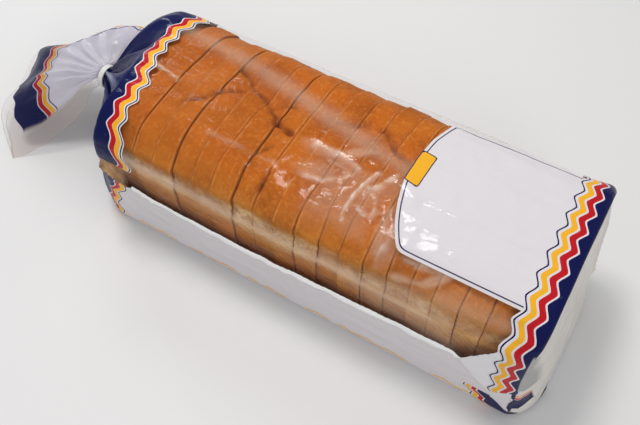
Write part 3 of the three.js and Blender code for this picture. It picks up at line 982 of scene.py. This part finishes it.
# From the tail's mouth towards the neck
TAIL_REACH = 60
TAIL_BANDS = [
    (0.0, CLEAR), (14.0, INK_NAVY), (36.5, INK_WHITE), (37.5, INK_RED), (41.2, INK_WHITE),
    (41.5, INK_YELLOW), (45.2, INK_WHITE), (46.8, INK_NAVY), (47.8, INK_WHITE),
]
FOOT_BANDS = [
    (0.0, INK_NAVY), (0.42, INK_WHITE), (0.44, INK_RED), (0.5, INK_WHITE), (0.53, INK_YELLOW),
    (0.58, INK_WHITE),
]


def zigzag(n, value, wavelength, amplitude, softness):
    wave = n.math("PINGPONG", value, wavelength / 2)
    sharp = n.math("DIVIDE", wave, wavelength / 2)
    both = n.add(n.times(sharp, 1 - softness), n.times(n.range(sharp, 0, 1), softness))
    return n.times(n.minus(both, 0.5), 2 * amplitude)


def banded(n, share, stops):
    """Tint and cover of hard bands, whose stops are shares from 0 to 1."""
    tint = n.ramp(share, [(at, ink[:3] + (1,)) for at, ink in stops], hard=True)
    return tint, n.ramp(share, [(at, (ink[3],) * 3 + (1,)) for at, ink in stops], hard=True)


def bands(n, value, stops):
    """Bands of ink across value, which runs from -BAND_REACH to BAND_REACH mm."""
    share = n.math("DIVIDE", n.add(value, BAND_REACH), 2 * BAND_REACH, clamp=True)
    return banded(n, share, [((at + BAND_REACH) / (2 * BAND_REACH), ink) for at, ink in stops])


def lay(n, over, tint, mask):
    """Prints tint over what is there, where mask is 1."""
    base, seen = over
    return n.blend(mask, base, tint), n.most(seen, mask)


def step(n, value, at=0.0, soft=0.12):
    return n.line(value, at - soft, at + soft)


def clear_film(n, u, t):
    """The film without ink: faint haze, milky painted reflections and whiter painted glints."""
    drift = n.noise(n.join(n.times(u, 0.02), n.times(t, 0.05)), 1.0, 4)
    haze_and_painted_reflection = n.add(n.range(drift, 0.4, 0.8, 0.0, 0.006), n.field("haze_and_painted_reflection"), clamp=True)
    haze_and_painted_reflection = n.most(haze_and_painted_reflection, n.field("glint"))
    shine = n.range(n.field("glint"), 0.05, 0.45)
    return n.blend(shine, srgb(234, 211, 186), srgb(255, 243, 226)), haze_and_painted_reflection


def shoulder_print(n, look, left, u, place):
    """Stripes and navy at the tail's end, with a window over the heel where the lit heel's tan is
    painted on the film over the shade behind it.
    """
    tint, seen = bands(n, left, LEFT_BANDS)
    body = n.line(n.field("mouth"), -0.5, -0.4, 1, 0)
    window = n.line(n.field("window"), -0.15, 0.15)
    # Painted light: the lit heel's tan is painted on the film where the gap behind it lies in shade
    painted_lit_heel = n.times(n.times(window, body), n.range(u, 20.0, 12.0))
    body = n.times(body, n.minus(1.0, window))
    mottled = n.noise(place, 70, 3)
    lit_heel_tint = n.blend(n.range(mottled, 0.35, 0.65), srgb(176, 122, 72), srgb(220, 176, 126))
    colour = n.blend(n.times(seen, body), look[0], tint)
    colour = n.blend(painted_lit_heel, colour, lit_heel_tint)
    cover = n.most(look[1], n.times(seen, body))
    return colour, n.most(cover, n.times(painted_lit_heel, n.range(mottled, 0.3, 0.7, 0.45, 0.85)))


def side_print(n, look, left, u, t):
    """White side bands and base, the near one up to the welded seam, whose ridge has a painted
    highlight.
    """
    past_stripes = n.line(left, 7.4, 7.6)
    band = n.times(step(n, n.field("seam"), 0.0, 0.2), past_stripes)
    look = lay(n, look, INK_WHITE, band)
    # Painted highlight along the ridge of the welded seam
    ridge = n.line(n.math("ABSOLUTE", n.add(n.field("seam"), 0.7)), 1.3, 1.0)
    ridge = n.times(ridge, n.times(past_stripes, n.range(u, 262, 226)))
    colour, cover = lay(n, look, srgb(255, 253, 250), ridge)
    hem = n.line(n.math("ABSOLUTE", n.add(t, zigzag(n, u, 16, 0.8, 0.8))), 0.9, 0.7)
    hem = n.times(hem, n.range(n.noise(n.join(u, 0.0), 0.05, 1), 0.4, 0.5))
    return n.blend(n.times(hem, band), colour, INK_YELLOW), cover


def label_print(n, look):
    """White label panel with its thin outline, and a bare tab on its edge."""
    label, tab = n.field("label"), n.field("tab")
    colour, cover = lay(n, look, INK_WHITE, step(n, label))
    outline = n.line(n.away(label, 1.9), 0.42, 0.22)
    colour = n.blend(outline, colour, INK_NAVY)
    colour, cover = lay(n, (colour, cover), INK_NAVY, step(n, tab, -0.6))
    return n.blend(step(n, tab), colour, INK_YELLOW), cover


def end_print(n, look, past, t, place):
    """Flap, painted in a lighter white than the band as painted light, stripes, navy edge and
    white face of the closed end. past is the distance past the red stripe."""
    # The flap's lighter white is painted light: a lit copy of the band's white
    colour, cover = lay(n, look, srgb(232, 230, 231), step(n, n.field("flap")))
    right = n.minus(past, zigzag(n, n.field("wave"), ZIGZAG_LENGTH, 1.5, 0.6))
    tint, seen = bands(n, right, RIGHT_BANDS)
    seen = n.times(seen, n.line(n.field("fold"), -12, 12))
    stripes_end = n.line(n.add(t, n.times(past, -0.5)), 26.2, 25.8)
    stripes_end = n.times(stripes_end, n.line(past, 3.0, 2.6))
    stripes_end = n.times(stripes_end, n.line(t, -20, -19))
    tint = n.blend(stripes_end, tint, INK_WHITE)
    navy_edge = n.minus(n.field("navy_end"), n.times(n.noise(place, 40, 2), 3.0))
    colour = n.blend(seen, colour, tint)
    cover = n.most(cover, seen)
    return lay(n, (colour, cover), srgb(228, 223, 214), n.times(step(n, navy_edge), seen))


def gusset_print(n, look, past, t, place):
    """Thinner grey film at the low corner of the end, and the print folded under it."""
    colour, cover = look
    ragged = n.add(n.times(n.noise(place, 60, 3), 14.0), n.math("MULTIPLY_ADD", t, 0.25, past))
    gusset = n.times(n.line(past, 5.2, 5.6), n.range(ragged, 43.0, 33.0))
    gusset = n.times(gusset, n.times(n.range(t, 29, 31), n.range(t, 75, 72)))
    foot = n.range(n.math("MULTIPLY_ADD", t, 0.3, past), 23.0, 21.5)
    foot = n.times(n.line(past, 5.0, 5.3), foot)
    foot = n.times(foot, n.times(n.range(t, 2, 3), n.range(t, 27, 25)))
    foot_share = n.math("DIVIDE", n.minus(t, zigzag(n, past, 8, 1.2, 0.4)), 40, clamp=True)
    colour = n.blend(gusset, colour, srgb(199, 198, 194))
    cover = n.times(cover, n.math("MULTIPLY_ADD", gusset, -0.25, 1.0))
    return n.blend(foot, colour, n.ramp(foot_share, FOOT_BANDS, hard=True)), cover


def slip_print(n, look, past, t):
    """Stripes that slip round the low corner below the flap."""
    colour, cover = look
    slip = n.add(past, n.math("MULTIPLY_ADD", t, 0.55, 11.0))
    tint, seen = bands(n, n.minus(slip, zigzag(n, t, 9.0, 1.4, 0.3)), SLIP_BANDS)
    low = n.times(n.line(t, 12.5, 12.0), n.line(t, -30, -29))
    low = n.times(low, n.line(n.field("fold"), -8, -20))
    return n.blend(n.times(seen, low), colour, tint), cover


def tail_print(n, look, haze_and_painted_reflection, place):
    """Clear rim, navy band and stripes of the tail, then plain white to the neck, all under uneven
    painted shade.
    """
    colour, cover = look
    tail = n.minus(n.field("rim"), zigzag(n, n.field("fan"), 12.0, 1.8, 0.5))
    share = n.math("DIVIDE", tail, TAIL_REACH, clamp=True)
    tint, seen = banded(n, share, [(at / TAIL_REACH, ink) for at, ink in TAIL_BANDS])
    on_tail = n.line(n.field("mouth"), -0.5, -0.4, 0, 1)
    printed = n.times(n.times(seen, on_tail), n.field("printed"))
    colour = n.blend(printed, colour, tint)
    # Painted shade: the whole tail is greyed unevenly
    uneven_shade = n.range(n.noise(place, 30, 2), 0.3, 0.7)
    shade = n.times(on_tail, n.math("MULTIPLY_ADD", uneven_shade, 0.4, 0.6))
    colour = n.blend(shade, colour, srgb(206, 206, 220), "MULTIPLY")
    cover = n.most(n.times(cover, n.minus(1.0, on_tail)), n.most(printed, haze_and_painted_reflection))
    rim_tape = n.times(n.range(n.field("rim"), 1.2, 0.8), n.times(on_tail, 0.45))
    return colour, n.most(cover, rim_tape)


def film_relief(n, u, t, place):
    """Wrinkles too fine for the mesh."""
    flat = n.join(n.times(u, 0.03), n.times(t, 0.1))
    broad = n.times(n.noise(flat, 1.0, 3, 0.5, 0.6), 1.2)
    wrinkle = n.add(broad, n.times(n.noise(place, 60, 2, 0.5, 0.8), 0.55))
    wrinkle = n.add(wrinkle, n.times(n.noise(place, 900, 2), 0.03))
    return n.bump(wrinkle, 0.0012, 0.6)


def film_material():
    n = Nodes("printed_film")
    u, t, place = n.field("u"), n.field("t"), n.place()
    left = n.minus(n.field("left"), zigzag(n, n.field("wave"), ZIGZAG_LENGTH, 1.6, 0.8))
    past = n.field("right")
    look = clear_film(n, u, t)
    haze_and_painted_reflection = look[1]
    look = shoulder_print(n, look, left, u, place)
    look = side_print(n, look, left, u, t)
    look = label_print(n, look)
    look = end_print(n, look, past, t, place)
    look = gusset_print(n, look, past, t, place)
    look = slip_print(n, look, past, t)
    colour, cover = tail_print(n, look, haze_and_painted_reflection, place)

    # Scuffs show pale as wear, painted highlights lie along the folds, and ink lets a little light
    # through
    scuff = n.range(n.noise(place, 240, 5, 0.7), 0.62, 0.8, 0, 0.09)
    fold_highlight = n.times(n.field("fold_highlight"), 0.7, clamp=True)
    colour = n.paint(colour, (scuff, (236, 236, 240)), (fold_highlight, (198, 206, 228)))
    normal = film_relief(n, u, t, place)
    ink = n.principled(
        Base_Color=colour,
        Roughness=0.4,
        Specular_IOR_Level=0.02,
        Coat_Weight=0.3,
        Coat_Roughness=0.05,
        Normal=normal,
        Coat_Normal=normal,
    )
    glint = n.make("BsdfGlossy", Color=(1, 1, 1, 1), Roughness=0.1, Normal=normal)
    see = n.make("BsdfTransparent", Color=(0.985, 0.985, 0.99, 1))
    facing = n.make("LayerWeight", Blend=0.5, Normal=normal)
    mirror = n.math("MULTIPLY_ADD", n.math("POWER", facing.outputs["Facing"], 5.0), 0.3, 0.011)
    film = n.mix_shader(mirror, see.outputs[0], glint.outputs[0])
    return n.finish(n.mix_shader(n.times(cover, 0.985), film, ink))


def haze_and_painted_light_fields(u, t):
    """Painted reflections, partly haze, and painted glints of the clear film at each point of the
    body.
    """
    haze_and_painted_reflection = np.zeros(u.shape)
    for path, half, strength in STREAKS:
        far_from = path_distance(u, t, path) + 1.2 * noise(u / 9, t / 9, 6)
        haze_and_painted_reflection = np.maximum(haze_and_painted_reflection, strength * np.exp(-((far_from / half) ** 2)))
    for corners, strength in PATCHES:
        edge = inside(u, t, corners) + 1.5 * noise(u / 6, t / 6, 2)
        haze_and_painted_reflection = np.maximum(haze_and_painted_reflection, strength * smooth(-5.0, 6.0, edge))
    glint = np.zeros(u.shape)
    for path, right, left, strength in GLINTS:
        glint = np.maximum(glint, strength * sheen(u, t, path, right, left))
    glint = glint * (0.85 + 0.35 * noise(u / 3.5, t / 3.5, 1)) * smooth(0.03, 0.15, glint)
    return haze_and_painted_reflection, glint


TAIL_HAZE = 0.16
SEAM_TOOTH = 2.4
# Below this t the stripes' zigzag is longer: it runs at this share of the pace
WAVE_T, WAVE_SHARE = 84, 0.8
WINDOW_TOP = 59.5
WINDOW_START = -15
# Width of the navy edge round the closed end, as (t, mm)
NAVY_EDGE = [(-60, 4), (20, 5), (40, 5), (74, 5.5), (86, 10), (110, 12.5), (180, 13), (300, 9)]

grid, film_u, mouth, fold_highlight = film_rows()
film_t = np.tile(bag_t, (len(grid), 1))
in_body = (mouth < 0) & (film_u > -14)
# Painted reflections and glints on the film's body
haze_and_painted_reflection, glint = haze_and_painted_light_fields(film_u, film_t)
near_seam = through(SEAM, film_u)
far_seam = T_FAR - near_seam
tooth = 0.5 * np.abs(((film_u / SEAM_TOOTH) % 1) - 0.5)
end_face = film_u - through(RIGHT_STRIPE, film_t)
window_sides = np.minimum(film_t - near_seam, WINDOW_TOP - film_t)
tail_print_side = smooth(-0.2, 0.0, upper) * smooth(-0.91, -0.87, across)
fields = {
    "u": film_u,
    "t": film_t,
    "wave": np.where(film_t > WAVE_T, film_t, WAVE_T - (WAVE_T - film_t) * WAVE_SHARE),
    "fold": past_fold(film_u, film_t),
    "left": film_u - through(LEFT_STRIPE, film_t),
    "right": end_face,
    "navy_end": end_face - through(NAVY_EDGE, film_t),
    "seam": np.maximum(near_seam + tooth - film_t, film_t - far_seam),
    "label": inside(film_u, film_t, LABEL, 0.9),
    "tab": inside(film_u, film_t, TAB),
    "flap": inside(film_u, film_t, FLAP),
    "window": np.minimum(window_sides, film_u - WINDOW_START),
    "haze_and_painted_reflection": haze_and_painted_reflection * in_body + np.where(mouth >= 0, TAIL_HAZE, 0.0),
    "glint": glint * in_body,
    "mouth": mouth,
    "fold_highlight": fold_highlight,
    "rim": np.where(mouth >= 0, mouth, 200.0),
    "fan": np.tile(across * 62, (len(grid), 1)),
    "printed": np.tile(tail_print_side, (len(grid), 1)),
}
film = film_material()
bag = skin("film_bag", grid, fields, film, cap_start=grid[0].mean(0), flip=True)
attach(bag, "root")
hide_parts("bag")


# ---- tie ----


def tie_material():
    n = Nodes("paper_wire_tie")
    place = n.place()
    fibre = n.noise(place, 900, 4, 0.7)
    shader = n.principled(
        Base_Color=n.blend(n.range(fibre, 0.35, 0.7), srgb(214, 212, 206), srgb(240, 239, 234)),
        Roughness=n.range(fibre, 0.3, 0.7, 0.4, 0.65),
        Normal=n.bump(fibre, 0.0002, 0.4),
    )
    return n.finish(shader)


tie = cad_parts["twist_tie"]
tie.data.materials.clear()
tie.data.materials.append(tie_material())


# ---- floor, light, camera ----


def floor_material():
    n = Nodes("pale_floor")
    place = n.place()
    cloud = n.noise(place, 1.5, 2)
    colour = n.blend(cloud, srgb(226, 224, 220), srgb(234, 233, 233))
    return n.finish(n.principled(Base_Color=colour, Roughness=0.6))


bpy.ops.mesh.primitive_grid_add(x_subdivisions=4, y_subdivisions=4, size=6)
floor = bpy.context.object
floor.name = "floor"
floor.data.materials.append(floor_material())

# The photo's camera, fitted to the loaf's straight edges: metres and millimetres of lens
EYE = Vector((0.1837, -0.2195, 0.4029))
AZIMUTH = math.radians(32.7)
ELEVATION = math.radians(55.7)
ROLL = math.radians(-2.4)
LENS = 42.2

back = Vector(
    (
        math.sin(AZIMUTH) * math.cos(ELEVATION),
        -math.cos(AZIMUTH) * math.cos(ELEVATION),
        math.sin(ELEVATION),
    )
)
level = (-back).cross(Vector((0, 0, 1))).normalized()
above = level.cross(-back)
right_hand = level * math.cos(ROLL) + above * math.sin(ROLL)
top_hand = back.cross(right_hand)
camera_data = bpy.data.cameras.new("camera")
camera_data.lens = LENS
camera_data.sensor_width = 36
camera = bpy.data.objects.new("camera", camera_data)
turned = Matrix((right_hand, top_hand, back)).transposed().to_4x4()
turned.translation = EYE
camera.matrix_world = turned
bpy.context.scene.collection.objects.link(camera)
bpy.context.scene.camera = camera


def softbox(name, place, aim, size, power, colour=(1, 1, 1)):
    lamp = bpy.data.lights.new(name, "AREA")
    lamp.shape = "RECTANGLE"
    lamp.size, lamp.size_y = size
    lamp.energy = power
    lamp.color = colour
    made = bpy.data.objects.new(name, lamp)
    made.location = place
    made.rotation_mode = "QUATERNION"
    made.rotation_quaternion = (Vector(aim) - Vector(place)).to_track_quat("-Z", "Y")
    bpy.context.scene.collection.objects.link(made)
    made.visible_camera = False
    return made


softbox("key", (-0.20, 0.07, 1.05), (0.02, 0, 0.09), (0.3, 0.22), 4.5, (1, 0.985, 0.96))
softbox("window", (-1.0, 0.6, 0.42), (-0.1, 0, 0.06), (0.09, 0.5), 0.9, (0.93, 0.96, 1))
softbox("glint", (-0.58, 0.45, 0.80), (-0.06, 0, 0.09), (0.26, 0.05), 0.5, (0.95, 0.97, 1))
for name, place, size, power in (
    ("back", (-0.5, 0.8, 0.9), (0.5, 0.5), 1.8),
    ("side", (0.9, -0.9, 0.9), (0.6, 0.6), 4.4),
):
    softbox(name, place, (0, 0, 0.05), size, power).visible_glossy = False
world = bpy.data.worlds.new("studio")
bpy.context.scene.world = world
world.use_nodes = True
sky = world.node_tree.nodes["Background"]
sky.inputs["Color"].default_value = (0.93, 0.95, 1.0, 1)
sky.inputs["Strength"].default_value = 0.45

bpy.context.scene.view_settings.view_transform = "Standard"
